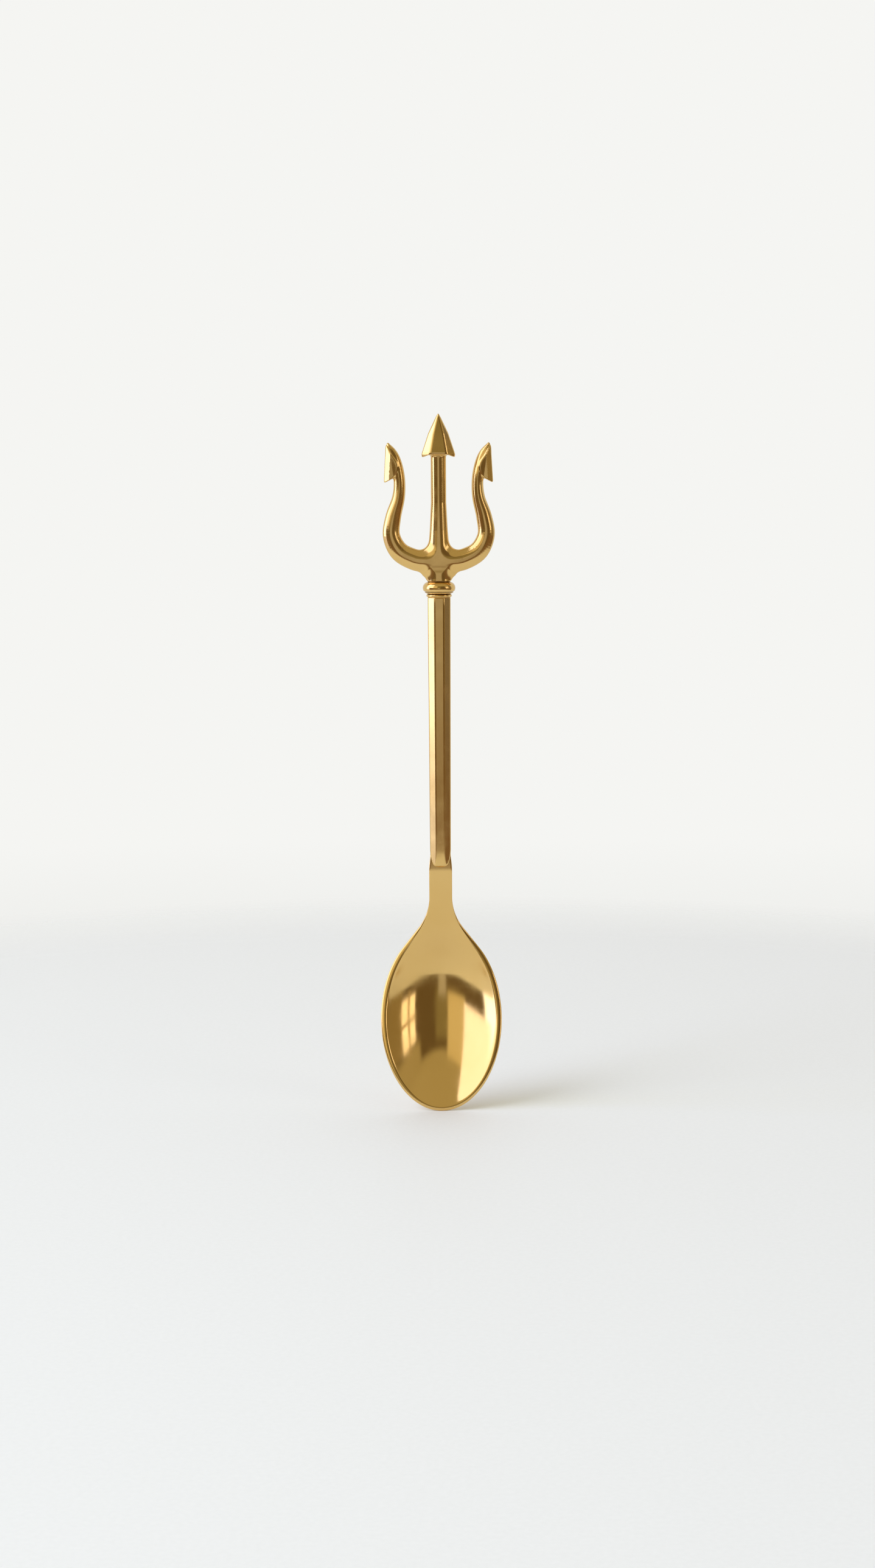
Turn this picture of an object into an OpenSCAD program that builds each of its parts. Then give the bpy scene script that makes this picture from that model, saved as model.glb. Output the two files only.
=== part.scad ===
// Bar spoon in brass: an oval bowl on a flat tongue, an eight-sided shaft,
// a turned ring and bead, and a cast trident finial.
// Front is -Y, up is +Z, and the spoon stands on the tip of its bowl.

/* [Bowl] */
// Widest width of the bowl, rim included
bowl_w = 31.2; // [26:0.2:34]
// Length of the oval that the bowl is drawn from
bowl_l = 46; // [42:0.5:52]
// Depth of the hollow below the rim
bowl_depth = 7; // [4.5:0.1:8]
// Wall thickness under the hollow
bowl_wall = 1.3; // [1:0.1:2]
// Width of the flat land round the rim
rim_w = 1.3; // [0.8:0.1:1.8]
// Thickness of the rim's outer edge
rim_edge = 0.9; // [0.6:0.1:1.3]
// Angle of the bowl's shoulders from upright
shoulder_angle = 38.5; // [32:0.5:42]
// Angle that the bowl's tip is lifted forward
bowl_lift = 14; // [4:0.5:16]

/* [Tongue] */
// Width of the tongue between bowl and shaft
tongue_w = 5.9; // [5.5:0.1:6.4]
// Thickness of the tongue
tongue_t = 1.8; // [1.4:0.1:2.2]
// Radius of the fillet between tongue and shoulder
shoulder_r = 13.6; // [9:0.2:15]
// Angle that the tongue is bent back below the shaft
neck_bend = 12; // [6:1:16]
// Length from the oval's top to the shaft's nose
neck_l = 16.5; // [15:0.1:20]

/* [Shaft] */
// Length of the eight-sided shaft
shaft_l = 69.2; // [55:0.1:110]
// Width across the flats at the top
shaft_top_w = 5.8; // [5.6:0.1:6.4]
// Width across the flats at the nose
shaft_foot_w = 5.3; // [5.1:0.1:5.8]
// Depth of the slot that holds the tongue
slot_l = 15; // [10:0.5:20]
// Length of the rounded nose
nose_l = 4.4; // [3:0.1:6]

/* [Collar] */
// Diameter of the thin ring under the bead
ring_d = 6.5; // [6.3:0.1:7.4]
// Height of the thin ring
ring_h = 0.8; // [0.6:0.1:1.2]
// Diameter of the bead
bead_d = 8.3; // [7.6:0.1:9]
// Height of the bead
bead_h = 3.1; // [2.8:0.1:4]
// Diameter of the stud inside
stud_d = 2.5; // [2:0.1:2.8]

/* [Trident] */
// Diameter of the finial's round foot
foot_d = 6.6; // [6.2:0.1:7]
// Height of the finial
finial_h = 42.4; // [40:0.1:46]
// Height of the side prongs' tips above the foot
side_tip_h = 34.8; // [33:0.1:37]
// Thickness of the finial at its middle, front to back
hub_t = 4.6; // [4:0.1:5.2]
// Thickness of the prongs, front to back
prong_t = 3.5; // [3:0.1:4]

/* [Hidden] */

brass = "#c9a354";
pale_brass = "#d2b068";
deep_brass = "#b08a3e";

fit_gap = 0.05;     // room for the brazing alloy, each side
stud_into_shaft = 7;
stud_into_finial = 5.5;
flat_share = 0.414; // share of an eight-sided bar's width that is one flat

// Heights up the spoon
z_mid = bowl_l / 2;
z_nose = bowl_l + neck_l;
z_top = z_nose + shaft_l;
z_bead = z_top + ring_h;
z_finial = z_bead + bead_h;
tongue_top = z_nose + slot_l;

// Bowl outline: an ellipse, a straight shoulder, a fillet and the tongue
half_a = bowl_w / 2;
half_b = bowl_l / 2;
half_tongue = tongue_w / 2;
shoulder_tan = tan(shoulder_angle);
tangent_share = shoulder_tan * half_b / half_a / sqrt(1 + pow(shoulder_tan * half_b / half_a, 2));
z_shoulder = z_mid + half_b * tangent_share;
x_shoulder = half_a * sqrt(1 - pow(tangent_share, 2));
z_corner = z_shoulder + (x_shoulder - half_tongue) / shoulder_tan;
fillet_run = shoulder_r * tan(shoulder_angle / 2);
z_fillet_low = z_corner - fillet_run * cos(shoulder_angle);
z_fillet_top = z_corner + fillet_run;

// Share of the way from a to b, eased at both ends
function ease(t) = let (c = max(0, min(1, t))) c * c * (3 - 2 * c);
function eased(z, a, b) = ease((z - a) / (b - a));

// The tongue narrows to the shaft's width where it enters the slot
slot_half = shaft_foot_w / 2 - 0.05;
function tongue_half(z) = half_tongue - (half_tongue - slot_half) * eased(z, z_nose - 1, z_nose + 4);

// Half the outline's width at a height, from the middle of the oval up
function half_width(z) =
    z < z_mid ? half_a * sqrt(max(0, 1 - pow((z - z_mid) / half_b, 2))) :
    z < z_shoulder ? half_a * sqrt(1 - pow((z - z_mid) / half_b, 2)) :
    z < z_fillet_low ? x_shoulder - (z - z_shoulder) * shoulder_tan :
    z < z_fillet_top ? half_tongue + shoulder_r - sqrt(pow(shoulder_r, 2) - pow(z_fillet_top - z, 2)) :
    tongue_half(z);

// The land thins towards the tip and fades out up the shoulders
tip_land = 0.7 * rim_w;
neck_land = 0.4;
z_fade = 0.78 * bowl_l;
function land(z) = rim_w - (rim_w - neck_land) * eased(z, z_fade, z_fillet_top);
function steepness(z) = (half_width(z + 0.1) - half_width(z - 0.1)) / 0.2;

// Half the hollow's width at a height
function hollow_half(z) =
    z < z_mid ? (half_a - rim_w) * sqrt(max(0, 1 - pow((z - z_mid) / (half_b - tip_land), 2))) :
    half_width(z) - land(z) * sqrt(1 + pow(steepness(z), 2));

// Depth of the hollow on its centre line, which is deepest near the oval's middle and
// runs out on the shoulders
hollow_end = z_fillet_top;
hollow_power = 1.3;
hollow_peak = pow(hollow_power / (1 + hollow_power), hollow_power) / (1 + hollow_power);
function centre_depth(z) =
    let (s = max(0, min(1, (z - tip_land) / (hollow_end - tip_land))))
    bowl_depth / hollow_peak * s * pow(1 - s, hollow_power) * (1 - eased(z, 0.72 * bowl_l, 1.1 * bowl_l));
function hollow_depth(x, z) =
    centre_depth(z) * max(0, 1 - pow(min(1, abs(x) / max(0.001, hollow_half(z))), 2));

// Sideways run of a slope that fades in between heights b and a, seen from above
function bent(z, a, b) =
    z >= b ? 0 :
    z >= a ? pow(b - z, 2) / (2 * (b - a)) :
    (b - a) / 2 + (a - z);
lift_low = 0.82 * bowl_l;
lift_high = 1.08 * bowl_l;
function spine_y(z) =
    tan(neck_bend) * bent(z, z_nose - 3.7, z_nose - 0.7)
    - (tan(neck_bend) + tan(bowl_lift)) * bent(z, lift_low, lift_high);
function front_y(x, z) = spine_y(z) - tongue_t / 2 + hollow_depth(x, z);

// The back is a fuller dish than the hollow, drawn from the rim's outer edge
function edge_t(z) = rim_edge + (tongue_t - rim_edge) * eased(z, z_fade, z_fillet_top);
function wall_t(z) = bowl_wall + (tongue_t - bowl_wall) * eased(z, z_fade, z_fillet_top);
function back_y(x, z) =
    let (share = min(1, abs(x) / max(0.001, half_width(z))))
    spine_y(z) - tongue_t / 2 + edge_t(z)
    + (centre_depth(z) + wall_t(z) - edge_t(z)) * (1 - pow(share, 2.2));

// The origin is the middle of the rim's edge at the bowl's tip
y_origin = front_y(0, 0) + rim_edge / 2;

// Bowl grid: columns run round the outline, and steps run from the rim in to the centre line
row_step = 1.5;
row_count = floor((z_nose - z_mid) / row_step);
rows = concat([tongue_top, z_nose + 4], [for (i = [row_count:-1:0]) z_mid + i * row_step]);
fan_count = 30;
step_count = 8;
n_rows = len(rows);
n_columns = 2 * n_rows + fan_count - 1;
function column_angle(c) = 180 * (c - n_rows + 1) / fan_count;
function is_fan(c) = c >= n_rows && c < n_columns - n_rows;
function row_of(c) = c < n_rows ? c : is_fan(c) ? n_rows - 1 : n_columns - 1 - c;
function column_side(c) = c < n_rows ? 1 : -1;

// A point's place [x, z] in front view: step 0 is the rim and step 1 the land's inner edge
function rim_point(c, inset) =
    is_fan(c)
    ? [(half_a - (inset ? rim_w : 0)) * cos(column_angle(c)),
       z_mid - (half_b - (inset ? tip_land : 0)) * sin(column_angle(c))]
    : [column_side(c) * (inset ? hollow_half(rows[row_of(c)]) : half_width(rows[row_of(c)])),
       rows[row_of(c)]];
function grid_point(c, s) =
    s == 0 ? rim_point(c, false) :
    let (rim = rim_point(c, true), spine = [0, rows[row_of(c)]], share = 1 - (s - 1) / (step_count - 1))
    spine + (rim - spine) * share;

// The last step is the centre line, which the two sides share
n_face = n_columns * step_count + n_rows;
function index_of(c, s) =
    s == step_count ? n_columns * step_count + row_of(c) : c * step_count + s;
face_points = concat(
    [for (c = [0:n_columns - 1]) for (s = [0:step_count - 1]) grid_point(c, s)],
    [for (r = [0:n_rows - 1]) [0, rows[r]]]);
bowl_points = concat(
    [for (p = face_points) [p[0], front_y(p[0], p[1]), p[1]]],
    [for (p = face_points) [p[0], back_y(p[0], p[1]), p[1]]]);

function triangles(a, b, c, d) =
    [for (t = [[a, c, b], [a, d, c]]) if (t[0] != t[1] && t[1] != t[2] && t[0] != t[2]) t];
bowl_faces = concat(
    [for (c = [0:n_columns - 2]) for (s = [0:step_count - 1])
        each triangles(index_of(c, s), index_of(c, s + 1), index_of(c + 1, s + 1), index_of(c + 1, s))],
    [for (c = [0:n_columns - 2]) for (s = [0:step_count - 1])
        each triangles(n_face + index_of(c, s), n_face + index_of(c + 1, s),
                       n_face + index_of(c + 1, s + 1), n_face + index_of(c, s + 1))],
    [for (c = [0:n_columns - 2])
        each triangles(index_of(c, 0), index_of(c + 1, 0), n_face + index_of(c + 1, 0), n_face + index_of(c, 0))],
    [for (s = [0:step_count - 1])
        each triangles(index_of(0, s), n_face + index_of(0, s), n_face + index_of(0, s + 1), index_of(0, s + 1))],
    [for (s = [0:step_count - 1]) let (c = n_columns - 1)
        each triangles(index_of(c, s), index_of(c, s + 1), n_face + index_of(c, s + 1), n_face + index_of(c, s))]);

module at_origin() {
    translate([0, -y_origin, 0]) children();
}

// Pressed bowl with its flat tongue, in one piece of sheet
module bowl() {
    color(pale_brass) at_origin() polyhedron(bowl_points, bowl_faces);
}

// Eight-sided tapered bar with a flat towards the front
module eight_sided_bar(low_w, high_w, height) {
    rotate(22.5)
        cylinder(h = height, d1 = low_w / cos(22.5), d2 = high_w / cos(22.5), $fn = 8);
}

// Outline that trims the bar's foot to its nose, from half the width of the nose's end
module nose_outline(end_half) {
    full_half = shaft_foot_w / 2;
    side = [for (a = [0:11.25:90])
        [end_half + (full_half - end_half) * sin(a), nose_l * (1 - cos(a))]];
    above = [[full_half + 1, nose_l], [full_half + 1, shaft_l + 1]];
    right = concat(side, above);
    left = [for (i = [len(right) - 1:-1:0]) [-right[i][0], right[i][1]]];
    polygon(concat(right, left));
}
module nose_envelope() {
    end_half_width = 1.3;
    end_half_depth = 1.5;
    intersection() {
        rotate([90, 0, 0])
            linear_extrude(4 * shaft_top_w, center = true) nose_outline(end_half_width);
        rotate([90, 0, 90])
            linear_extrude(4 * shaft_top_w, center = true) nose_outline(end_half_depth);
    }
}

// Shaft, slotted for the tongue and bored for the stud
module shaft() {
    slot_w = tongue_t + 2 * fit_gap;
    color(brass) at_origin() translate([0, 0, z_nose]) difference() {
        intersection() {
            eight_sided_bar(shaft_foot_w, shaft_top_w, shaft_l);
            nose_envelope();
        }
        translate([-5, -slot_w / 2, -1]) cube([10, slot_w, slot_l + 1]);
        translate([0, 0, shaft_l - stud_into_shaft])
            cylinder(h = stud_into_shaft + 1, r = stud_d / 2 + fit_gap, $fn = 48);
    }
}

// Turned piece with a bore and a round edge, which may have a fine groove below its middle
module turned_ring(outer_d, height, groove = 0) {
    bore_r = stud_d / 2 + fit_gap;
    round_r = height / 2;
    centre_r = outer_d / 2 - round_r;
    rotate_extrude($fn = 64)
        polygon([
            [bore_r, 0],
            for (a = [-90:10:90])
                let (r = round_r - (a == -40 ? groove : 0))
                [centre_r + r * cos(a), round_r + r * sin(a)],
            [bore_r, height]
        ]);
}

module ring() {
    color(deep_brass) at_origin() translate([0, 0, z_top]) turned_ring(ring_d, ring_h);
}

module bead() {
    color(brass) at_origin() translate([0, 0, z_bead]) turned_ring(bead_d, bead_h, 0.15);
}

// Smooth curve through knots, each a list of numbers, with a count of samples a span
function knot(knots, i) =
    i < 0 ? 2 * knots[0] - knots[1] :
    i >= len(knots) ? 2 * knots[len(knots) - 1] - knots[len(knots) - 2] :
    knots[i];
function between(a, b, c, d, t) =
    0.5 * (2 * b + (c - a) * t + (2 * a - 5 * b + 4 * c - d) * t * t + (3 * b - a - 3 * c + d) * t * t * t);
function curve(knots, samples) = [
    for (i = [0:len(knots) - 2]) for (k = [0:samples - 1])
        between(knot(knots, i - 1), knots[i], knots[i + 1], knot(knots, i + 2), k / samples),
    knots[len(knots) - 1]
];

// Eight-cornered ring of half width w and half thickness t across a path in the XZ plane
edge_share = 0.45;
function ring_of(p, along, flat) =
    let (n = [along[1], -along[0]] / norm(along), w = p[2], t = p[3], e = t * edge_share, f = w * flat)
    [for (q = [[w, -e], [w, e], [f, t], [-f, t], [-w, e], [-w, -e], [-f, -t], [f, -t]])
        [p[0] + n[0] * q[0], q[1], p[1] + n[1] * q[0]]];
function along_of(path, i) =
    let (a = path[max(0, i - 1)], b = path[min(len(path) - 1, i + 1)]) [b[0] - a[0], b[1] - a[1]];

module swept_bar(path, flat = flat_share) {
    n = len(path);
    polyhedron(
        [for (i = [0:n - 1]) each ring_of(path[i], along_of(path, i), flat)],
        concat(
            [[for (k = [0:7]) k]],
            [for (i = [0:n - 2]) for (k = [0:7]) let (j = (k + 1) % 8)
                each [[8 * i + k, 8 * i + 8 + k, 8 * i + 8 + j], [8 * i + k, 8 * i + 8 + j, 8 * i + j]]],
            [[for (k = [7:-1:0]) 8 * (n - 1) + k]]));
}

// Knots of a side arm from the hub to its tip: across, up, half width, half thickness
hub_half = hub_t / 2;
prong_half = prong_t / 2;
arm_knots = [
    [0, 5.2, 2.9, hub_half],
    [3.2, 5.2, 2.8, hub_half],
    [6.4, 5.7, 2.7, 2.15],
    [10.1, 7.8, 2.5, 1.95],
    [12, 11.8, 2.2, 1.85],
    [11.5, 16.4, 2, prong_half],
    [10.2, 21, 1.65, prong_half],
    [9.85, 24.6, 1.5, 1.65],
    [10.2, 27.9, 1.5, 1.6],
    [11, 31, 1.4, 1.35],
    [12, side_tip_h - 1.7, 1.15, 1],
    [12.7, side_tip_h, 0.4, 0.5]
];
right_arm = curve(arm_knots, 4);
left_arm = [for (i = [len(right_arm) - 1:-1:1]) let (p = right_arm[i]) [-p[0], p[1], p[2], p[3]]];

// Knots of the spear up the middle, in the same order
head_h = 10.8;
z_barb = finial_h - head_h;
shank = [
    [0, 3, 2.7, 2],
    [0, 10, 2.7, 2],
    [0, 13, 2.25, 1.85],
    [0, 20, 1.9, prong_half],
    [0, z_barb + 0.5, 1.9, prong_half - 0.1]
];
head = [
    [0, z_barb, 4.1, 0.9],
    [0, z_barb + 0.5, 4.25, 1.5],
    [0, z_barb + 1.1, 4.1, 1.8],
    [0, finial_h - 5, 2.55, 1.75],
    [0, finial_h - 0.8, 0.6, 0.65],
    [0, finial_h, 0.15, 0.2]
];
head_flat = 0.42;

// Barb outside a side prong's head
module side_barb() {
    tip = [12.95, side_tip_h - 0.5];
    point = [13.4, side_tip_h - 9.5];
    notch = [11.3, side_tip_h - 7.8];
    root = [10.6, side_tip_h - 5];
    edge_half = 0.45;
    for (side = [-1, 1]) hull() {
        for (q = [tip, point]) translate([side * q[0], 0, q[1]])
            cube([0.3, 2 * edge_half, 0.3], center = true);
        for (q = [notch, root]) translate([side * q[0], 0, q[1]])
            cube([0.3, 2.7, 0.3], center = true);
    }
}

// Webs that fill the corners above and below the side arms with round fillets
web_half = 1.8;
upper_r = 1.5;
lower_r = 2.8;
module hub_webs() {
    rotate([90, 0, 0]) linear_extrude(2 * web_half, center = true) {
        upper_x = 2.7 + upper_r;
        difference() {
            translate([-upper_x, 6]) square([2 * upper_x, 2 + upper_r]);
            for (side = [-1, 1])
                translate([side * upper_x, 8 + upper_r]) circle(upper_r, $fn = 48);
        }
        lower_x = foot_d / 2 + lower_r;
        difference() {
            translate([-lower_x, 1]) square([2 * lower_x, lower_r]);
            for (side = [-1, 1])
                translate([side * lower_x, 1]) circle(lower_r, $fn = 48);
        }
    }
}

// Round foot that narrows upwards in flat-sided steps, as a hand-filed neck does
foot_h = 1.6;
neck_h = 4.4;
neck_top_d = 3.6;
module finial_foot() {
    cylinder(h = foot_h, d = foot_d, $fn = 64);
    hull() for (end = [[0, foot_d], [neck_h, neck_top_d]])
        translate([0, 0, foot_h + end[0]]) linear_extrude(0.01) circle(d = end[1], $fn = 24);
}

// Cast trident on its round foot, bored for the stud
module finial() {
    color(brass) at_origin() translate([0, 0, z_finial]) difference() {
        union() {
            swept_bar(concat(left_arm, right_arm));
            swept_bar(shank);
            swept_bar(head, head_flat);
            side_barb();
            hub_webs();
            finial_foot();
        }
        translate([0, 0, -1])
            cylinder(h = stud_into_finial + 1, r = stud_d / 2 + fit_gap, $fn = 48);
    }
}

// Plain stud that joins shaft, ring, bead and finial
module stud() {
    color(deep_brass) at_origin()
        translate([0, 0, z_top - stud_into_shaft + 0.2])
            cylinder(h = stud_into_shaft + ring_h + bead_h + stud_into_finial - 0.4, d = stud_d, $fn = 48);
}

bowl();
shaft();
ring();
bead();
finial();
stud();
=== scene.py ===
"""A brass bar spoon that stands on the tip of its bowl, on a pale floor in soft window light.

The frame says where each part is. The shapes here are drawn in millimetres about the spoon's
upright axis, and add_mesh moves them there and turns them into metres.
"""
import math

import bmesh
import bpy
import numpy as np
from mathutils import Matrix, Vector


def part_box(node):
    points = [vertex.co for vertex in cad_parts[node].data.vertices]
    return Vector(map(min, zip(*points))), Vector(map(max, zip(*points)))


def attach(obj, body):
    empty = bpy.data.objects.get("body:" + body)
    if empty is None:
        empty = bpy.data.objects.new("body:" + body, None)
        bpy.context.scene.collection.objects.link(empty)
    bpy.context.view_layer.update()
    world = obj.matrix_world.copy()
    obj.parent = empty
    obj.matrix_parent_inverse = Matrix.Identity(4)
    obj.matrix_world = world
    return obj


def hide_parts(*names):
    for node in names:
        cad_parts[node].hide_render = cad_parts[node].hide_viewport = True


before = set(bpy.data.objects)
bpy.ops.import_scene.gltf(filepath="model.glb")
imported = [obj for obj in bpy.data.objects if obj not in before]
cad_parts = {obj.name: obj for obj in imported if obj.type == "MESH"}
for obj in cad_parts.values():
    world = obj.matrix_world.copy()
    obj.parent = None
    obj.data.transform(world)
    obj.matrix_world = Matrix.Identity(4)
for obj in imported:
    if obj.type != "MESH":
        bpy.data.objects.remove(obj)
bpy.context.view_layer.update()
MM = 0.001


# ---------------------------------------------------------------- frame

def frame_box(node):
    """The node's lowest and highest corners in millimetres."""
    low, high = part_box(node)
    return np.array(low) / MM, np.array(high) / MM


bowl_low, bowl_high = frame_box("bowl")
shaft_low, shaft_high = frame_box("shaft")
ring_low, ring_high = frame_box("ring")
bead_low, bead_high = frame_box("bead")
finial_low, _ = frame_box("finial")

AXIS_Y = (bead_low[1] + bead_high[1]) / 2
BOWL_W = bowl_high[0] - bowl_low[0]
TONGUE_TOP = bowl_high[2]
NOSE_Z = shaft_low[2]
SHAFT_TOP_Z = shaft_high[2]
FOOT_Z = finial_low[2]


# ---------------------------------------------------------------- helpers

def add_mesh(name, points, faces, replaced, normals=None):
    """A smooth-shaded piece from points in millimetres about the spoon's axis.

    Points that meet are merged, unless the piece brings its own normals."""
    mesh = bpy.data.meshes.new(name)
    placed = (np.asarray(points, float) + [0, AXIS_Y, 0]) * MM
    mesh.from_pydata(placed.tolist(), [], [tuple(map(int, f)) for f in faces])
    shell = bmesh.new()
    shell.from_mesh(mesh)
    if normals is None:
        bmesh.ops.remove_doubles(shell, verts=shell.verts, dist=1e-6)
    bmesh.ops.recalc_face_normals(shell, faces=shell.faces)
    shell.to_mesh(mesh)
    shell.free()
    mesh.polygons.foreach_set("use_smooth", [True] * len(mesh.polygons))
    if normals is not None:
        mesh.normals_split_custom_set_from_vertices(normals.tolist())
    piece = bpy.data.objects.new(name, mesh)
    bpy.context.scene.collection.objects.link(piece)
    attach(piece, "root")
    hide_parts(replaced)
    return piece


def grid_faces(rows, columns, start=0, closed=False):
    """Quads between the rows of a grid of points; closed joins the last column to the first."""
    faces = []
    for i in range(rows - 1):
        for j in range(columns if closed else columns - 1):
            k = (j + 1) % columns
            a = start + i * columns
            faces.append((a + j, a + k, a + columns + k, a + columns + j))
    return faces


def keep_flats(piece, sharp_degrees):
    """Flat faces keep their own normals, and edges past the angle stay sharp."""
    piece.data.set_sharp_from_angle(angle=math.radians(sharp_degrees))
    flats = piece.modifiers.new("flats", "WEIGHTED_NORMAL")
    flats.keep_sharp = True
    flats.weight = 100


def ease(t):
    """0 below 0, 1 above 1, and smooth between."""
    c = np.clip(t, 0, 1)
    return c * c * (3 - 2 * c)


def eased(z, a, b):
    """0 below a, 1 above b, and smooth between."""
    return ease((z - a) / (b - a))


# ---------------------------------------------------------------- bowl and tongue

# The bowl is an oval with straight shoulders that run through fillets into the tongue. Its rim
# is a plane land that leans forward, and the hollow is sunk into it. Heights are above the tip.
BOWL_L = 46.0
BOWL_DEPTH = 7.0
BOWL_WALL = 1.3
RIM_W = 1.3
TIP_LAND = 0.91
NECK_LAND = 0.4
RIM_EDGE = 0.9
HOLLOW_POWER = 1.3
BACK_POWER = 2.2
BOWL_LIFT = math.radians(14)
NECK_BEND = math.radians(12)
SHOULDER = math.radians(38.5)
SHOULDER_R = 13.6
HALF_TONGUE = 2.95
SLOT_HALF = 2.6
TONGUE_T = 1.8

HALF_A = BOWL_W / 2
HALF_B = BOWL_L / 2
Z_MID = HALF_B
steep_share = math.tan(SHOULDER) * HALF_B / HALF_A
tangent_share = steep_share / math.hypot(1, steep_share)
Z_SHOULDER = Z_MID + HALF_B * tangent_share
X_SHOULDER = HALF_A * math.sqrt(1 - tangent_share ** 2)
corner_z = Z_SHOULDER + (X_SHOULDER - HALF_TONGUE) / math.tan(SHOULDER)
fillet_run = SHOULDER_R * math.tan(SHOULDER / 2)
Z_FILLET_LOW = corner_z - fillet_run * math.cos(SHOULDER)
Z_FILLET_TOP = corner_z + fillet_run
Z_FADE = 0.78 * BOWL_L
RUN_OUT_LOW = 0.72 * BOWL_L
RUN_OUT_HIGH = 1.1 * BOWL_L
LIFT_LOW = 0.82 * BOWL_L
LIFT_HIGH = 1.08 * BOWL_L
THINNEST = 0.5
BACK_ROUND = 0.35
CROWN_W, CROWN_FALL = 1.25, 0.45
TONGUE_CROWN_W, TONGUE_CROWN_FALL = 0.4, 0.3


def half_width(z):
    """Half the width of the bowl, its shoulders and the tongue."""
    oval = HALF_A * np.sqrt(np.clip(1 - ((z - Z_MID) / HALF_B) ** 2, 0, 1))
    straight = X_SHOULDER - (z - Z_SHOULDER) * math.tan(SHOULDER)
    fillet_in = np.sqrt(np.clip(SHOULDER_R ** 2 - (Z_FILLET_TOP - z) ** 2, 0, None))
    tongue = HALF_TONGUE - (HALF_TONGUE - SLOT_HALF) * eased(z, NOSE_Z - 1, NOSE_Z + 4)
    return np.select([z < Z_SHOULDER, z < Z_FILLET_LOW, z < Z_FILLET_TOP],
                     [oval, straight, HALF_TONGUE + SHOULDER_R - fillet_in], tongue)


def centre_depth(z):
    """Depth of the hollow on its centre line, which runs out on the shoulders."""
    peak = (HOLLOW_POWER / (1 + HOLLOW_POWER)) ** HOLLOW_POWER / (1 + HOLLOW_POWER)
    s = np.clip((z - TIP_LAND) / (Z_FILLET_TOP - TIP_LAND), 0, 1)
    run_out = 1 - eased(z, RUN_OUT_LOW, RUN_OUT_HIGH)
    return BOWL_DEPTH / peak * s * (1 - s) ** HOLLOW_POWER * run_out


def hollow_depth(x, z):
    """Depth of the hollow below the land, with a soft inner edge."""
    a, b = HALF_A - RIM_W, HALF_B - TIP_LAND
    z_in = np.maximum(z, TIP_LAND + 0.05)
    low = centre_depth(z_in) / (1 - ((z_in - Z_MID) / b) ** 2)
    low = low * (1 - ((z - Z_MID) / b) ** 2 - (x / a) ** 2)
    land = RIM_W - (RIM_W - NECK_LAND) * eased(z, Z_FADE, Z_FILLET_TOP)
    slope = (half_width(z + 0.1) - half_width(z - 0.1)) / 0.2
    edge = half_width(z) - land * np.sqrt(1 + slope ** 2)
    high = centre_depth(z) * (1 - (x / edge) ** 2)
    depth = np.where(z < Z_MID, low, high)
    soft = 0.22 * centre_depth(z_in) / (centre_depth(z_in) + 0.8)
    return 0.5 * (depth + np.sqrt(depth ** 2 + soft ** 2))


def bent(z, a, b):
    """Run of a slope that fades in between heights b and a."""
    return np.where(z >= b, 0, np.where(z >= a, (b - z) ** 2 / (2 * (b - a)), (b - a) / 2 + a - z))


def spine_y(z):
    """How far the sheet's middle lies behind the axis: bent under the nose, leaning in the bowl."""
    return (math.tan(NECK_BEND) * bent(z, NOSE_Z - 3.7, NOSE_Z - 0.7)
            - (math.tan(NECK_BEND) + math.tan(BOWL_LIFT)) * bent(z, LIFT_LOW, LIFT_HIGH))


def back_offset(x, z):
    """Distance of the back behind the land's plane."""
    fade = eased(z, Z_FADE, Z_FILLET_TOP)
    edge_t = RIM_EDGE + (TONGUE_T - RIM_EDGE) * fade
    wall_t = BOWL_WALL + (TONGUE_T - BOWL_WALL) * fade
    share = np.clip(np.abs(x) / np.maximum(half_width(z), 0.001), 0, 1)
    reach = np.sqrt(((z - Z_MID) / HALF_B) ** 2 + (x / HALF_A) ** 2)
    tip_fade = np.where(z < Z_MID, ease((1 - reach) * HALF_B / 3), 1)
    return edge_t + (centre_depth(z) + (wall_t - edge_t) * tip_fade) * (1 - share ** BACK_POWER)


def rounded(d, width, fall):
    """How far a surface falls away at distance d from an edge with an elliptical round."""
    share = np.clip(1 - d / width, 0, 1)
    return fall * (1 - np.sqrt(1 - share ** 2))


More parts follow.
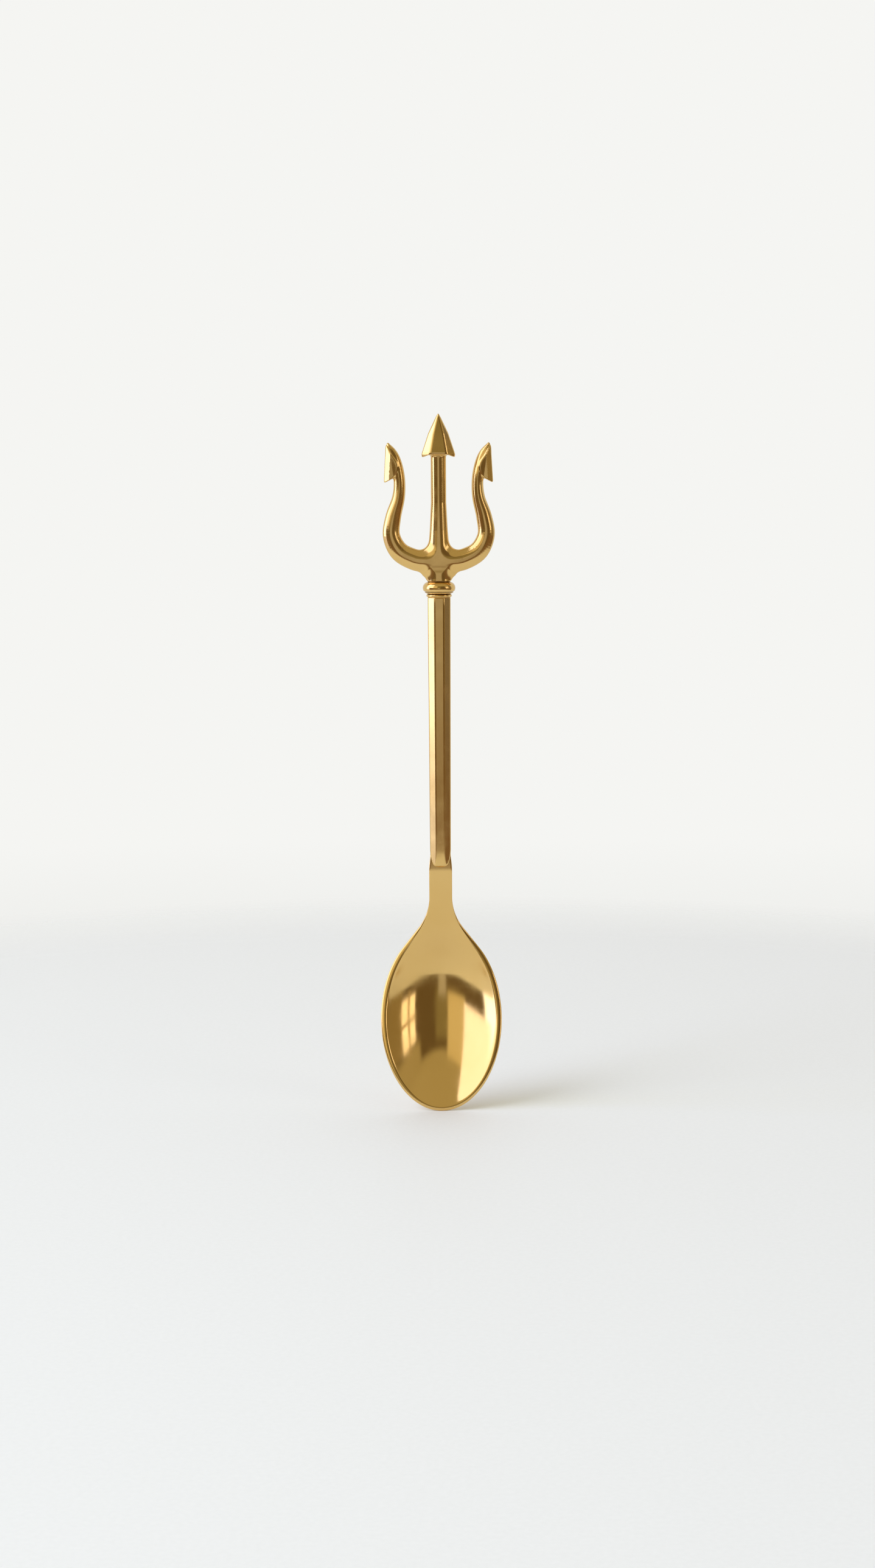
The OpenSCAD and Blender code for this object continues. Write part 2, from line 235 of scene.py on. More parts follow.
def bowl_half():
    """Front and back of the right half, as grids of points: columns by steps in from the rim."""
    slot_z = [TONGUE_TOP, 74, 70, NOSE_Z + 4]
    side_z = slot_z + list(np.linspace(NOSE_Z + 3.2, Z_MID, 84))
    fan = np.radians(np.linspace(0, 90, 40)[1:])
    spine_share = 0.62
    rim_x = np.concatenate([half_width(np.array(side_z)), HALF_A * np.cos(fan)])
    rim_z = np.concatenate([side_z, Z_MID - HALF_B * np.sin(fan)])
    spine_z = np.concatenate([side_z, Z_MID - spine_share * HALF_B * np.sin(fan)])
    rim_x[-1] = 0
    ray = np.stack([-rim_x, spine_z - rim_z], 1)
    length = np.linalg.norm(ray, axis=1)
    along = np.gradient(np.stack([rim_x, rim_z], 1), axis=0)
    along /= np.linalg.norm(along, axis=1)[:, None]
    lean = np.abs(along[:, 0] * ray[:, 1] - along[:, 1] * ray[:, 0]) / length
    near = np.array([0, 0.02, 0.06, 0.12, 0.2, 0.3, 0.42, 0.6, 0.8,
                     1.0, 1.15, 1.3, 1.45, 1.65, 1.9, 2.2, 2.6])
    zone = np.minimum(near[None, :] / lean[:, None], 0.93 * length[:, None] * near[None, :] / near[-1])
    inner = np.linspace(0, 1, 25)[1:]
    reach = np.concatenate([zone, zone[:, -1:] + (length[:, None] - zone[:, -1:]) * inner], axis=1)
    x = rim_x[:, None] + ray[:, :1] / length[:, None] * reach
    z = rim_z[:, None] + ray[:, 1:] / length[:, None] * reach
    x[:, -1] = 0
    inset = reach * lean[:, None]
    plane = spine_y(z) - TONGUE_T / 2
    flat = eased(z, Z_FADE, Z_FILLET_TOP)
    crown = rounded(inset, CROWN_W + (TONGUE_CROWN_W - CROWN_W) * flat,
                    CROWN_FALL + (TONGUE_CROWN_FALL - CROWN_FALL) * flat)
    front = plane + np.minimum(hollow_depth(x, z), back_offset(x, z) - THINNEST) + crown
    back = plane + back_offset(x, z) - rounded(inset, BACK_ROUND, BACK_ROUND)
    return np.stack([x, front, z], 2), np.stack([x, back, z], 2)


def make_bowl():
    """Both halves of the bowl and tongue, closed along the rim and across the tongue's end."""
    front, back = bowl_half()
    columns, steps = front.shape[:2]
    count = columns * steps
    points, faces = [], []
    for side in (1, -1):
        for sheet in (front, back):
            points.append(sheet.reshape(-1, 3) * [side, 1, 1])
    for half in (0, 2 * count):
        faces += grid_faces(columns, steps, half) + grid_faces(columns, steps, half + count)
        for i in range(columns - 1):
            a, b = half + i * steps, half + (i + 1) * steps
            faces.append((a, b, b + count, a + count))
        for j in range(steps - 1):
            faces.append((half + j, half + j + 1, half + count + j + 1, half + count + j))
    return add_mesh("bowl_and_tongue", np.concatenate(points), faces, "bowl")


# ---------------------------------------------------------------- shaft

# An eight-sided bar whose nose rounds off over the tongue; NOSE_END is how far the side and
# front flats lie from the axis at the nose's end, before its last edge is rounded by NOSE_ROUND.
SHAFT_TOP_W = shaft_high[0] - shaft_low[0]
SHAFT_FOOT_W = 5.3
CORNER_R = 0.75
ARC_STEPS = 5
NOSE_L = 4.4
NOSE_END = (1.0, 2.3)
NOSE_ROUND = 0.7
TOP_ROUND = 0.2
SLOT_HALF_T = 0.95


def support(z):
    """Distances from the axis to the side flats, the front flats and the bevels at a height,
    and the radius of the corners between them."""
    share = (z - NOSE_Z) / (SHAFT_TOP_Z - NOSE_Z)
    full = (SHAFT_FOOT_W + (SHAFT_TOP_W - SHAFT_FOOT_W) * share) / 2
    d = z - NOSE_Z
    turn = math.acos(max(0.0, 1 - d / NOSE_L))
    curl = NOSE_ROUND - math.sqrt(max(0.0, NOSE_ROUND ** 2 - max(0.0, NOSE_ROUND - d) ** 2))
    reach = [min(full, end + (SHAFT_FOOT_W / 2 - end) * math.sin(turn)) - curl for end in NOSE_END]
    if d >= NOSE_L:
        reach = [full, full]
    round_r = min(CORNER_R, 0.8 * min(reach))
    bevel = min(full - curl * 0.7, (sum(reach) - 2 * round_r) / math.sqrt(2) + round_r)
    top_curl = rounded(SHAFT_TOP_Z - z, TOP_ROUND, TOP_ROUND)
    return reach[0] - top_curl, reach[1] - top_curl, bevel - top_curl, round_r


def shaft_section(z):
    """Rounded eight-sided outline, with points where the slot's cheeks meet the side flats."""
    side, front, bevel, round_r = support(z)
    a, b, d = side - round_r, front - round_r, bevel - round_r
    corner = [(a, math.sqrt(2) * d - a), (math.sqrt(2) * d - b, b)]
    corners = corner + [(-p, q) for p, q in reversed(corner)]
    corners += [(-p, -q) for p, q in corners]
    loop = [(side, -SLOT_HALF_T), (side, SLOT_HALF_T)]
    for i, (x, y) in enumerate(corners):
        if i == 4:
            loop += [(-side, SLOT_HALF_T), (-side, -SLOT_HALF_T)]
        for k in range(ARC_STEPS + 1):
            angle = math.radians(45 * (i + k / ARC_STEPS))
            loop.append((x + round_r * math.cos(angle), y + round_r * math.sin(angle)))
    return [(x, y, z) for x, y in loop]


def make_shaft():
    """The bar as a stack of outlines; below the slot's top each one is two half outlines."""
    nose = [0, 0.04, 0.12, 0.24, 0.4, 0.6, 0.85, 1.2, 1.6, 2.1, 2.7, 3.4, NOSE_L]
    low_z = [NOSE_Z + d for d in nose] + list(np.linspace(NOSE_Z + NOSE_L, TONGUE_TOP, 6)[1:])
    high_z = list(np.linspace(TONGUE_TOP, SHAFT_TOP_Z - TOP_ROUND, 24)[1:])
    high_z += [SHAFT_TOP_Z - d for d in (0.12, 0.05, 0)]
    rows = [shaft_section(z) for z in low_z + high_z]
    n = len(rows[0])
    points = [p for row in rows for p in row]
    half = 4 * (ARC_STEPS + 1)
    back_cheek = list(range(1, half + 3))
    front_cheek = list(range(half + 3, n)) + [0]
    split = len(low_z) - 1
    faces = []
    for i in range(len(rows) - 1):
        a, b = i * n, (i + 1) * n
        if i >= split:
            faces += [(a + j, a + (j + 1) % n, b + (j + 1) % n, b + j) for j in range(n)]
            continue
        for cheek in (back_cheek, front_cheek):
            ring = cheek + [cheek[0]]
            faces += [(a + j, a + k, b + k, b + j) for j, k in zip(ring, ring[1:])]
    faces.append([back_cheek[0] + split * n, front_cheek[-1] + split * n,
                  front_cheek[0] + split * n, back_cheek[-1] + split * n])
    faces += [back_cheek, front_cheek, list(range((len(rows) - 1) * n, len(rows) * n))]
    piece = add_mesh("shaft_bar", points, faces, "shaft")
    keep_flats(piece, 40)
    return piece


# ---------------------------------------------------------------- ring and bead

def make_turned(name, z_low, outer_r, height, groove, replaced):
    """A turned ring with a round edge and a plain bore, which may have a fine groove."""
    bore_r = 1.3
    round_r = height / 2
    profile = [(bore_r, 0)]
    for degrees in np.linspace(-90, 90, 61):
        a = math.radians(degrees)
        r = round_r - groove * math.exp(-((degrees + 40) / 6) ** 2)
        r -= 0.05 * groove * math.exp(-((degrees - 52) / 4) ** 2)
        profile.append((outer_r - round_r + r * math.cos(a), round_r + r * math.sin(a)))
    profile.append((bore_r, height))
    turns = 128
    points = []
    for k in range(turns):
        a = 2 * math.pi * k / turns
        points += [(r * math.cos(a), r * math.sin(a), z_low + h) for r, h in profile]
    m = len(profile)
    faces = []
    for k in range(turns):
        a, b = k * m, (k + 1) % turns * m
        faces += [(a + j, b + j, b + (j + 1) % m, a + (j + 1) % m) for j in range(m)]
    piece = add_mesh(name, points, faces, replaced)
    keep_flats(piece, 50)
    return piece


# ---------------------------------------------------------------- trident

# Millimetres from the foot. A side arm's knots give x and height, half width and half thickness;
# the shank's and the head's give height, half width and half thickness; the foot's give height,
# half thickness, bevel and half edge. The barb's corners are x and height.
ARM_KNOTS = np.array([
    [0, 5.2, 2.9, 2.3],
    [3.2, 5.2, 2.8, 2.3],
    [6.4, 5.7, 2.7, 2.2],
    [10.1, 7.8, 2.5, 2.05],
    [12, 11.8, 2.2, 1.9],
    [11.5, 16.4, 2, 1.8],
    [10.2, 21, 1.65, 1.75],
    [9.85, 24.6, 1.5, 1.65],
    [10.2, 27.9, 1.5, 1.6],
    [11, 31, 1.4, 1.35],
    [12, 33.1, 1.15, 1],
    [12.7, 34.8, 0.4, 0.5]])
SHANK_KNOTS = np.array([
    [3, 2.7, 2.3],
    [8, 2.7, 2.25],
    [13, 2.3, 2.0],
    [20, 1.95, 1.8],
    [33, 1.95, 1.75]])
HEAD_KNOTS = np.array([
    [31.2, 4.15, 2.0],
    [32.1, 4.25, 2.35],
    [32.7, 4.1, 2.35],
    [37.4, 2.55, 1.6],
    [41.6, 0.6, 0.5],
    [42.4, 0.15, 0.2]])
BARB_CORNERS = np.array([[13.3, 34.6], [13.85, 24.9], [11.2, 26.3], [10.4, 29.6]])
BARB_EDGE_T, BARB_T, BARB_SLOPE = 0.4, 1.5, 1.9 / 2.3
EDGE_SHARE = 0.4
BEVEL_SHARE = 0.6
HEAD_EDGE_SHARE = 0.3
HEAD_FLAT = 0.5
HEAD_FOOT_Z, HEAD_HOLLOW = 31.45, 0.55
HEAD_TOP_Z = 42.4
FOOT_R = 2.95
FOOT_ROUND_R = 3.1
FOOT_FLARE = 1.6
FOOT_KNOTS = np.array([
    [0, 2.45, 1.5, 1.2],
    [0.8, 2.42, 1.6, 1.1],
    [4.5, 2.35, 1.8, 0.95]])
NET_CELL = 0.18


def smooth_max(a, b, k):
    """The larger of two, blended where they differ by less than k."""
    return np.maximum(a, b) + np.maximum(k - np.abs(a - b), 0) ** 2 / (4 * k)


def smooth_min(a, b, k):
    return -smooth_max(-a, -b, k)


def curve(knots, samples):
    """Smooth curve through the knots."""
    before = np.vstack([2 * knots[0] - knots[1], knots, 2 * knots[-1] - knots[-2]])
    t = (np.arange(samples) / samples)[:, None]
    spans = []
    for a, b, c, d in zip(before, before[1:], before[2:], before[3:]):
        spans.append(0.5 * (2 * b + (c - a) * t + (2 * a - 5 * b + 4 * c - d) * t ** 2
                            + (3 * b - a - 3 * c + d) * t ** 3))
    return np.vstack(spans + [knots[-1:]])


arm_path = curve(ARM_KNOTS, 8)


def arm_measures(x, z):
    """Distance from the side arm's centre line, with its half width and half thickness there."""
    flat_x, flat_z = np.abs(x).ravel(), z.ravel()
    start, run = arm_path[:-1, :2], np.diff(arm_path[:, :2], axis=0)
    out = np.empty((3, flat_x.size))
    for low in range(0, flat_x.size, 20000):
        part = slice(low, low + 20000)
        px, pz = flat_x[part, None] - start[:, 0], flat_z[part, None] - start[:, 1]
        t = np.clip((px * run[:, 0] + pz * run[:, 1]) / (run ** 2).sum(1), 0, 1)
        gap = np.hypot(px - t * run[:, 0], pz - t * run[:, 1])
        best = gap.argmin(1)
        rows = np.arange(best.size)
        share = t[rows, best]
        size = arm_path[best, 2:] * (1 - share[:, None]) + arm_path[best + 1, 2:] * share[:, None]
        out[:, part] = gap[rows, best], size[:, 0], size[:, 1]
    return out.reshape(3, *x.shape)


def bevelled(depth, y, half, bevel, edge, soft):
    """A plate that is half thick each way: depth is negative inside its outline in front view,
    and bevels run in from its edge, which is edge thick each way."""
    slope = ((depth + bevel) * (half - edge) + (y - half) * bevel) / np.hypot(half - edge, bevel)
    return smooth_max(smooth_max(depth, y - half, soft), slope, soft)


def trident_plan(x, z):
    """What the trident's shape needs at each place in front view: the yoke's outline, half
    thickness, bevel and edge, the spear head's half width and thickness, and the barbs' sides."""
    ax = np.abs(x)
    gap, arm_w, arm_t = arm_measures(x, z)
    stem_w, stem_t = [np.interp(z, SHANK_KNOTS[:, 0], SHANK_KNOTS[:, i]) for i in (1, 2)]
    foot_t, foot_bevel, foot_edge = [np.interp(z, FOOT_KNOTS[:, 0], FOOT_KNOTS[:, i]) for i in (1, 2, 3)]
    depths = np.stack([gap - arm_w,
                       np.maximum(ax - stem_w, np.maximum(SHANK_KNOTS[0, 0] - z, z - SHANK_KNOTS[-1, 0])),
                       np.maximum(ax - FOOT_R, z - FOOT_KNOTS[-1, 0])])
    outline = smooth_min(smooth_min(depths[0], depths[1], 3.0), depths[2], 3.0)
    weight = np.exp(-(depths - depths.min(0)) / 0.8)
    weight /= weight.sum(0)
    half = weight[0] * arm_t + weight[1] * stem_t + weight[2] * foot_t
    bevel = weight[0] * BEVEL_SHARE * arm_w + weight[1] * BEVEL_SHARE * stem_w + weight[2] * foot_bevel
    edge = EDGE_SHARE * (weight[0] * arm_t + weight[1] * stem_t) + weight[2] * foot_edge
    head = [np.interp(z, HEAD_KNOTS[:, 0], HEAD_KNOTS[:, i]) for i in (1, 2)]
    along = np.roll(BARB_CORNERS, -1, axis=0) - BARB_CORNERS
    along /= np.linalg.norm(along, axis=1)[:, None]
    sides = [(z - c[1]) * d[0] - (ax - c[0]) * d[1] for c, d in zip(BARB_CORNERS, along)]
    return outline, half, bevel, edge, head, sides


def trident_field(x, y, z, plan):
    """Negative inside the trident. The lengths are millimetres from its foot."""
    outline, half, bevel, edge, head, sides = plan
    ax, ay = np.abs(x), np.abs(y)
    body = bevelled(outline, ay, half, bevel, edge, 0.5)
    round_foot = np.hypot(x, y) - FOOT_ROUND_R - FOOT_FLARE * np.maximum(z, 0) ** 2
    body = smooth_max(body, round_foot, 0.4)
    under = HEAD_FOOT_Z + HEAD_HOLLOW * ease((4.1 - ax) / 2)
    spear = bevelled(ax - head[0], ay, head[1],
                     (1 - HEAD_FLAT) * head[0], HEAD_EDGE_SHARE * head[1], 0.3)
    spear = smooth_max(smooth_max(spear, under - z, 0.25), z - HEAD_TOP_Z, 0.2)
    body = smooth_min(body, spear, 0.7)
    barb = sides[0]
    for side in sides[1:]:
        barb = smooth_max(barb, side, 0.6)
    thick = BARB_EDGE_T + BARB_SLOPE * np.maximum(-sides[0], 0)
    body = smooth_min(body, smooth_max(barb, ay - np.minimum(thick, BARB_T), 0.25), 0.6)
    return smooth_max(body, -z, 0.35)


def surface_net(values, low, cell):
    """Quads on the zero surface of a grid of values, with one point in each cell it crosses."""
    shape = np.array(values.shape)
    inside = values < 0
    total = np.zeros((*(shape - 1), 3))
    count = np.zeros(shape - 1)
    crossings = []
    for axis in range(3):
        a = np.take(values, np.arange(shape[axis] - 1), axis)
        b = np.take(values, np.arange(1, shape[axis]), axis)
        cross = (a < 0) != (b < 0)
        crossings.append((axis, cross))
        place = np.stack(np.nonzero(cross), 1)
        where = place.astype(float)
        where[:, axis] += a[cross] / (a[cross] - b[cross])
        u, v = [i for i in range(3) if i != axis]
        for du in (0, 1):
            for dv in (0, 1):
                cells = place.copy()
                cells[:, u] -= du
                cells[:, v] -= dv
                ok = ((cells >= 0) & (cells < shape - 1)).all(1)
                index = tuple(cells[ok].T)
                np.add.at(total, index, where[ok])
                np.add.at(count, index, 1)
    used = count > 0
    number = np.full(count.shape, -1)
    number[used] = np.arange(used.sum())
    points = total[used] / count[used][:, None] * cell + low
    faces = []
    for axis, cross in crossings:
        place = np.stack(np.nonzero(cross), 1)
        u, v = [i for i in range(3) if i != axis]
        corners = []
        for du, dv in ((1, 1), (0, 1), (0, 0), (1, 0)):
            cells = place.copy()
            cells[:, u] -= du
            cells[:, v] -= dv
            corners.append(number[tuple(cells.T)])
        quads = np.stack(corners, 1)
        flip = inside[tuple(place.T)] ^ (axis == 1)
        quads[flip] = quads[flip][:, ::-1]
        faces.append(quads)
    return points, np.concatenate(faces)


def field_and_slope(points):
    """The trident's field at some points, and its gradient there."""
    px, py, pz = points.T
    step = 0.02
    plan = trident_plan(px, pz)
    here = trident_field(px, py, pz, plan)
    grad = np.stack([
        trident_field(px + step, py, pz, trident_plan(px + step, pz)) - here,
        trident_field(px, py + step, pz, plan) - here,
        trident_field(px, py, pz + step, trident_plan(px, pz + step)) - here], 1) / step
    return here, grad


def make_trident():
    """The zero surface of the trident's field, pulled onto it and given its slope as normals."""
    low, high = np.array([-15.1, -4, -0.5]), np.array([15.1, 4, 43.2])
    x, y, z = [np.arange(a, b, NET_CELL) for a, b in zip(low, high)]
    x, y, z = x[:, None, None], y[None, :, None], z[None, None, :]
    flat_x, flat_z = np.broadcast_arrays(x, z)
    values = trident_field(x, y, z, trident_plan(flat_x, flat_z))
    points, faces = surface_net(values, low, NET_CELL)
    for _ in range(2):
        here, grad = field_and_slope(points)
        size = np.maximum((grad ** 2).sum(1), 0.2)
        move = -(here / size)[:, None] * grad
        points = points + np.clip(move, -NET_CELL / 2, NET_CELL / 2)
    _, normals = field_and_slope(points)
    normals /= np.linalg.norm(normals, axis=1)[:, None]
    return add_mesh("trident", points + [0, 0, FOOT_Z], faces, "finial", normals)


# ---------------------------------------------------------------- materials

GOLD = (0.76, 0.51, 0.19, 1)
DEEP_GOLD = (0.70, 0.45, 0.145, 1)
# Painted shade: the dark colour laid into hollows, grooves and joints where shade falls.
PAINTED_CREVICE_SHADE = (0.16, 0.085, 0.03, 1)


def link(tree, kind, settings=None, **inputs):
    """A node with its inputs set by name, or as i0, i1 and so on; a socket given is linked."""
    made = tree.nodes.new(kind)
    for key, value in (settings or {}).items():
        setattr(made, key, value)
    for key, value in inputs.items():
        numbered = key[0] == "i" and key[1:].isdigit()
        socket = made.inputs[int(key[1:]) if numbered else key.replace("_", " ")]
        if isinstance(value, bpy.types.NodeSocket):
            tree.links.new(value, socket)
        else:
            socket.default_value = value
    return made


def noise(tree, place, scale, detail=3.0, stretch=(1, 1, 1)):
    """Noise whose features are 1/scale metres across, stretched by its mapping."""
    mapped = link(tree, "ShaderNodeMapping", Vector=place, Scale=stretch).outputs["Vector"]
    made = link(tree, "ShaderNodeTexNoise", Vector=mapped, Scale=scale, Detail=detail)
    return made.outputs["Fac"]


def ranged(tree, value, low, high, to_low, to_high):
    """The value moved from one range to another and kept inside it."""
    made = link(tree, "ShaderNodeMapRange", Value=value, From_Min=low, From_Max=high,
                To_Min=to_low, To_Max=to_high)
    return made.outputs["Result"]


def mixed(tree, share, a, b):
    """Colour a, or b where share is 1."""
    made = link(tree, "ShaderNodeMix", {"data_type": "RGBA"}, i0=share, i6=a, i7=b)
    return made.outputs[2]


def brass(name, roughness, lines, line_depth, wave, wave_depth, hollow_shade_paint=0.0, shade_band_heights=()):
    """Polished brass: uneven tone, fine lines in one direction, and a hand-polished waviness.

    lines is the stretch of the fine lines' noise and wave the waviness's features a metre.
    The last two arguments paint shade: how much painted shade darkens the hollows, and the
    heights and half heights, in metres, of bands of painted shade in the grooves and joints.
    """
    made = bpy.data.materials.new(name)
    made.use_nodes = True
    tree = made.node_tree
    shader = tree.nodes["Principled BSDF"]
    place = link(tree, "ShaderNodeTexCoord").outputs["Object"]
    patches = ranged(tree, noise(tree, place, 70, 4), 0.35, 0.7, 0, 0.55)
    tone = mixed(tree, patches, GOLD, DEEP_GOLD)
    # Painted shade: the surface is darkened wherever pointiness says it is hollow.
    if hollow_shade_paint:
        point = link(tree, "ShaderNodeNewGeometry").outputs["Pointiness"]
        tone = mixed(tree, ranged(tree, point, 0.497, 0.455, 0, hollow_shade_paint), tone, PAINTED_CREVICE_SHADE)
    # Painted shade: dark bands at the given heights, in grooves and where parts meet.
    for height, half in shade_band_heights:
        up = link(tree, "ShaderNodeSeparateXYZ", Vector=place).outputs["Z"]
        off = link(tree, "ShaderNodeMath", {"operation": "SUBTRACT"}, i0=up, i1=height).outputs[0]
        off = link(tree, "ShaderNodeMath", {"operation": "ABSOLUTE"}, i0=off).outputs[0]
        tone = mixed(tree, ranged(tree, off, half, half * 0.3, 0, 0.85), tone, PAINTED_CREVICE_SHADE)
    tree.links.new(tone, shader.inputs["Base Color"])
    shader.inputs["Metallic"].default_value = 1
    fine = noise(tree, place, 1, 2, lines)
    smear = noise(tree, place, 260, 3)
    rough = ranged(tree, smear, 0.3, 0.75, roughness * 0.75, roughness * 1.5)
    tree.links.new(rough, shader.inputs["Roughness"])
    waves = noise(tree, place, wave, 1)
    bump = link(tree, "ShaderNodeBump", Strength=1, Distance=wave_depth, Height=waves).outputs[0]
    bump = link(tree, "ShaderNodeBump", Strength=1, Distance=line_depth, Height=fine, Normal=bump)
    tree.links.new(bump.outputs[0], shader.inputs["Normal"])
    return made


def give(piece, material):
    """The piece's only material."""
    piece.data.materials.clear()
    piece.data.materials.append(material)


# ---------------------------------------------------------------- pieces

bowl = make_bowl()
shaft = make_shaft()
ring = make_turned("thin_ring", ring_low[2], ring_high[0], ring_high[2] - ring_low[2], 0, "ring")
bead = make_turned("bead", bead_low[2], bead_high[0], bead_high[2] - bead_low[2], 0.15, "bead")
trident = make_trident()

give(bowl, brass("pressed brass", 0.11, (2500, 2500, 300), 1.2e-7, 90, 8e-6))
give(shaft, brass("drawn brass", 0.13, (5000, 5000, 60), 2.5e-7, 80, 1.2e-5))
# The turned parts get bands of painted shade in the bead's groove and where the ring, bead and trident
# meet.
turned = brass("turned brass", 0.14, (300, 300, 9000), 3e-7, 150, 4e-6,
               shade_band_heights=[((bead_low[2] + 0.55) * MM, 0.00016),
                        (ring_high[2] * MM, 0.00014),
                        (FOOT_Z * MM, 0.00014)])
give(ring, turned)
give(bead, turned)
# The cast trident gets painted shade in its hollows.
give(trident, brass("cast brass", 0.15, (900, 900, 900), 1.5e-7, 120, 1.2e-5, hollow_shade_paint=0.5))

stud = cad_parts["stud"]
stud_brass = brass("stud brass", 0.3, (400, 400, 6000), 1e-6, 200, 5e-6)
for material_slot in stud.material_slots:
    material_slot.material = stud_brass


# ---------------------------------------------------------------- floor

FLOOR_TONE = (0.90, 0.93, 0.92, 1)
FLOOR_GRAIN_TONE = (0.88, 0.91, 0.90, 1)
FLOOR_R = 0.38
FLOOR_SOLID_R = 0.28
FLOOR_CLEAR_R = 0.36
FLOOR_CENTRE = (0, -0.03, 0)


def make_floor():
    """A pale disc under the spoon that fades out before its edge."""
    rings, turns = 24, 96
    points, faces = [(0, 0, 0)], []
    for i in range(1, rings + 1):
        for k in range(turns):
            a = 2 * math.pi * k / turns
            points.append((FLOOR_R * i / rings * math.cos(a), FLOOR_R * i / rings * math.sin(a), 0))
    faces += [(0, 1 + k, 1 + (k + 1) % turns) for k in range(turns)]
    faces += grid_faces(rings, turns, 1, closed=True)
    mesh = bpy.data.meshes.new("floor")
    mesh.from_pydata(points, [], faces)
    floor = bpy.data.objects.new("floor", mesh)
    floor.location = FLOOR_CENTRE
    bpy.context.scene.collection.objects.link(floor)
    made = bpy.data.materials.new("pale paper")
    made.use_nodes = True
    tree = made.node_tree
    shader = tree.nodes["Principled BSDF"]
    place = link(tree, "ShaderNodeTexCoord").outputs["Object"]
    grain = noise(tree, place, 900, 4)
    tone = mixed(tree, ranged(tree, grain, 0.3, 0.7, 0, 1), FLOOR_TONE, FLOOR_GRAIN_TONE)
    tree.links.new(tone, shader.inputs["Base Color"])
    shader.inputs["Roughness"].default_value = 0.6
    shader.inputs["Specular IOR Level"].default_value = 0.15
    away = link(tree, "ShaderNodeVectorMath", {"operation": "LENGTH"}, i0=place).outputs["Value"]
    solid = ranged(tree, away, FLOOR_CLEAR_R, FLOOR_SOLID_R, 0, 1)
    tree.links.new(solid, shader.inputs["Alpha"])
    mesh.materials.append(made)


make_floor()


# ---------------------------------------------------------------- room

# What the metal reflects: azimuths from the front towards the right and elevations in degrees,
# how soft the edges are, and the light's colour. Later patches lie on top of earlier ones.
CEILING = [
    ((-200, 200), (40, 120), 6, (0.51, 0.45, 0.28)),
    ((44, 97), (28, 45), 8, (0.48, 0.42, 0.26))]
WALLS_BEHIND = [
    ((-200, -97), (-90, 60), 6, (0.86, 0.86, 0.84)),
    ((97, 200), (-90, 60), 6, (0.80, 0.80, 0.79))]
PAST_THE_FLOOR = [
    ((-97, 97), (-90, -7), 3, (0.23, 0.145, 0.08))]
FRONT_WALL = [
    ((-14, 12), (3, 34), 10, (0.30, 0.26, 0.14)),
    ((-10, 6), (-7, 8), 7, (0.57, 0.55, 0.53)),
    ((69, 84), (-7, 26), 3, (0.34, 0.27, 0.14))]
SIDES = [
    ((-97, -74), (-7, 55), 2.5, (2.7, 2.9, 4.2)),
    ((-97, -74), (-40, -7), 3, (0.95, 0.95, 1.25)),
    ((84, 97), (-7, 55), 2.5, (0.25, 0.22, 0.20))]
LEFT_WINDOW = [
    ((-46, -13), (5, 44), 6, (0.85, 0.75, 0.5)),
    ((-80, -44), (8, 60), 3, (1.9, 1.85, 2.3))]
RIGHT_WINDOW = [
    ((50, 69), (1, 27), 1.5, (1.9, 1.75, 1.7)),
    ((58, 61), (-2, 30), 0.8, (0.5, 0.38, 0.22)),
    ((48, 71), (13, 15), 0.8, (0.5, 0.38, 0.22))]
PATCHES = CEILING + WALLS_BEHIND + PAST_THE_FLOOR + FRONT_WALL + SIDES + LEFT_WINDOW + RIGHT_WINDOW
ROOM = (0.17, 0.125, 0.065, 1)

# What the camera sees behind the spoon: plain paper, with painted shade making it a little darker where
# it meets the floor.
BACKGROUND_HIGH = (0.913, 0.913, 0.890, 1)
BACKGROUND_SHADE_BAND = (0.835, 0.840, 0.815, 1)
BACKGROUND_LOW = (0.855, 0.855, 0.831, 1)
BAND_LOWER_EDGE = (-11.6, -11.2)
BAND_UPPER_EDGE = (-11.2, -8.5)


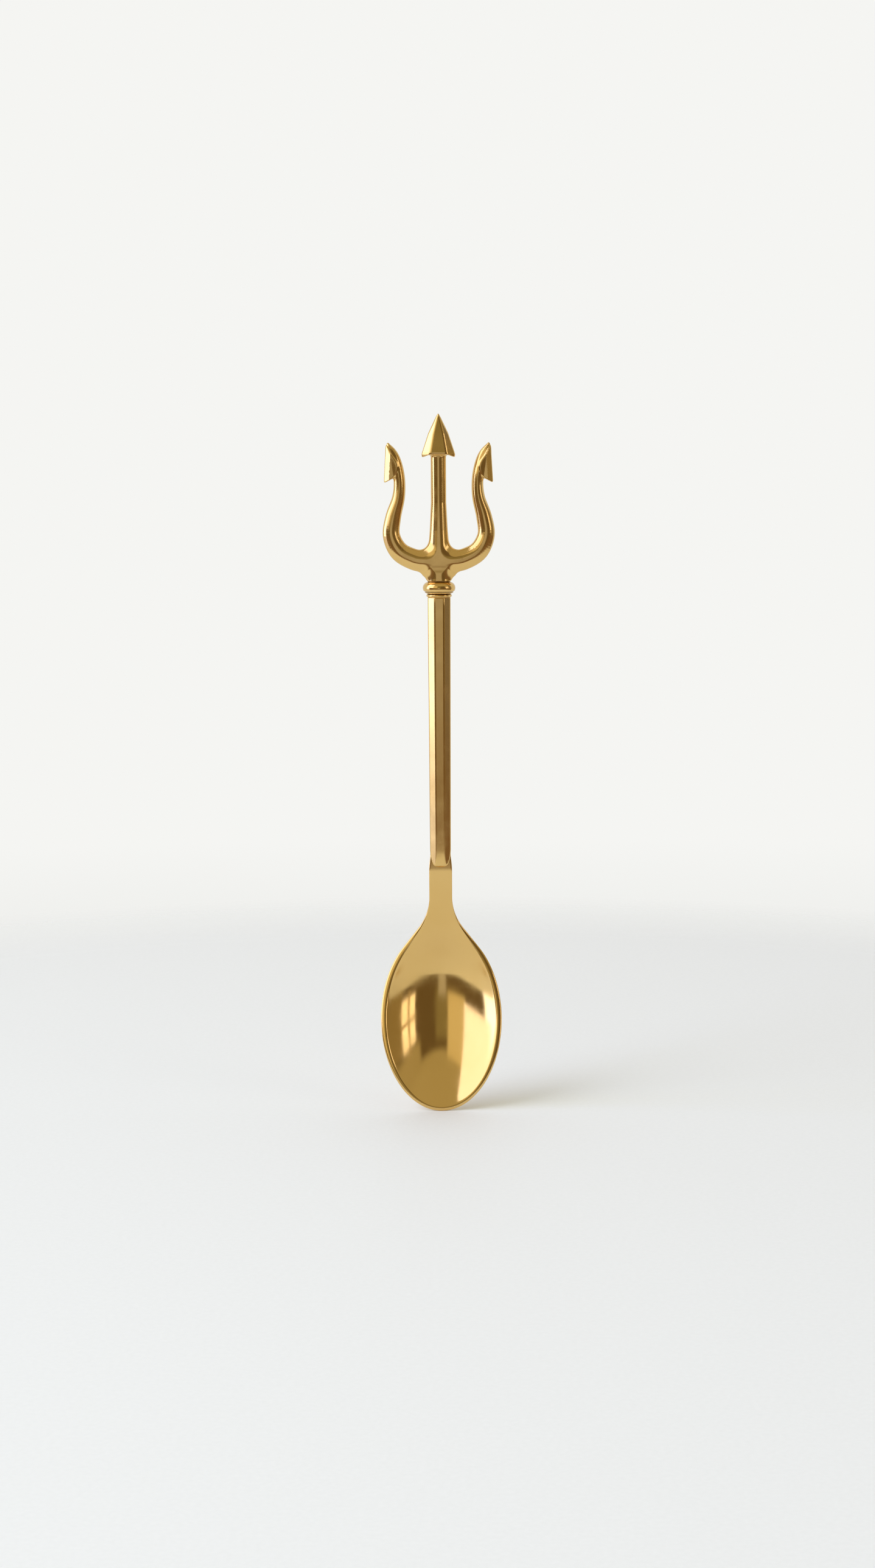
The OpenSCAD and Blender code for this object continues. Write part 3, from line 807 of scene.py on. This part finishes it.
def make_room():
    """The room as reflected and the paper as seen, both by direction only."""
    world = bpy.data.worlds.new("room")
    bpy.context.scene.world = world
    world.use_nodes = True
    tree = world.node_tree
    tree.nodes.clear()
    place = link(tree, "ShaderNodeTexCoord").outputs["Generated"]
    part = link(tree, "ShaderNodeSeparateXYZ", Vector=place)
    x, y, z = part.outputs

    def sums(kind, a, b=0.0):
        return link(tree, "ShaderNodeMath", {"operation": kind}, i0=a, i1=b).outputs[0]

    ahead = sums("MULTIPLY", y, -1.0)
    azimuth = sums("MULTIPLY", sums("ARCTAN2", x, ahead), 180 / math.pi)
    elevation = sums("MULTIPLY", sums("ARCSINE", z), 180 / math.pi)

    def within(value, low, high, soft):
        rise = link(tree, "ShaderNodeMapRange", {"interpolation_type": "SMOOTHSTEP"}, Value=value,
                    From_Min=low - soft / 2, From_Max=low + soft / 2, To_Min=0.0, To_Max=1.0)
        fall = link(tree, "ShaderNodeMapRange", {"interpolation_type": "SMOOTHSTEP"}, Value=value,
                    From_Min=high - soft / 2, From_Max=high + soft / 2, To_Min=1.0, To_Max=0.0)
        return sums("MULTIPLY", rise.outputs["Result"], fall.outputs["Result"])

    colour = ROOM
    for azimuths, elevations, soft, tint in PATCHES:
        share = sums("MULTIPLY", within(azimuth, *azimuths, soft), within(elevation, *elevations, soft))
        colour = mixed(tree, share, colour, (*tint, 1))

    # The band of painted shade where the paper bends down into the floor.
    seen = mixed(tree, ranged(tree, elevation, *BAND_LOWER_EDGE, 0, 1), BACKGROUND_LOW, BACKGROUND_SHADE_BAND)
    seen = mixed(tree, ranged(tree, elevation, *BAND_UPPER_EDGE, 0, 1), seen, BACKGROUND_HIGH)
    camera_ray = link(tree, "ShaderNodeLightPath").outputs["Is Camera Ray"]
    final = mixed(tree, camera_ray, colour, seen)
    lit = link(tree, "ShaderNodeBackground", Color=final, Strength=1.0).outputs[0]
    out = tree.nodes.new("ShaderNodeOutputWorld")
    tree.links.new(lit, out.inputs["Surface"])


make_room()


KEY_AZIMUTH = math.radians(-57)
KEY_ELEVATION = math.radians(33)
KEY_DISTANCE = 1.2
KEY_SIZE = (0.7, 0.9)
KEY_ENERGY = 4.9
KEY_COLOUR = (0.92, 1.0, 1.1)


def make_key():
    """The window's own light on the floor; the metal sees the window in the room instead."""
    key = bpy.data.lights.new("window light", "AREA")
    key.energy = KEY_ENERGY
    key.color = KEY_COLOUR
    key.shape = "RECTANGLE"
    key.size, key.size_y = KEY_SIZE
    lamp = bpy.data.objects.new("window light", key)
    bpy.context.scene.collection.objects.link(lamp)
    away = Vector((math.sin(KEY_AZIMUTH) * math.cos(KEY_ELEVATION),
                   -math.cos(KEY_AZIMUTH) * math.cos(KEY_ELEVATION),
                   math.sin(KEY_ELEVATION)))
    lamp.location = away * KEY_DISTANCE
    lamp.rotation_mode = "QUATERNION"
    lamp.rotation_quaternion = away.to_track_quat("Z", "Y")
    lamp.visible_glossy = False
    lamp.visible_camera = False


make_key()


# ---------------------------------------------------------------- camera

CAMERA_PLACE = (-0.000675, -0.7, 0.175)
CAMERA_PITCH = 7.342
CAMERA_ROLL = -0.32
CAMERA_LENS = 63.916

lens = bpy.data.cameras.new("camera")
lens.lens = CAMERA_LENS
lens.sensor_width = 36
lens.sensor_fit = "AUTO"
lens.clip_start, lens.clip_end = 0.01, 50
camera = bpy.data.objects.new("camera", lens)
bpy.context.scene.collection.objects.link(camera)
camera.matrix_world = (Matrix.Translation(CAMERA_PLACE)
                       @ Matrix.Rotation(math.radians(90 - CAMERA_PITCH), 4, "X")
                       @ Matrix.Rotation(math.radians(CAMERA_ROLL), 4, "Z"))
bpy.context.scene.camera = camera
bpy.context.scene.view_settings.view_transform = "Standard"
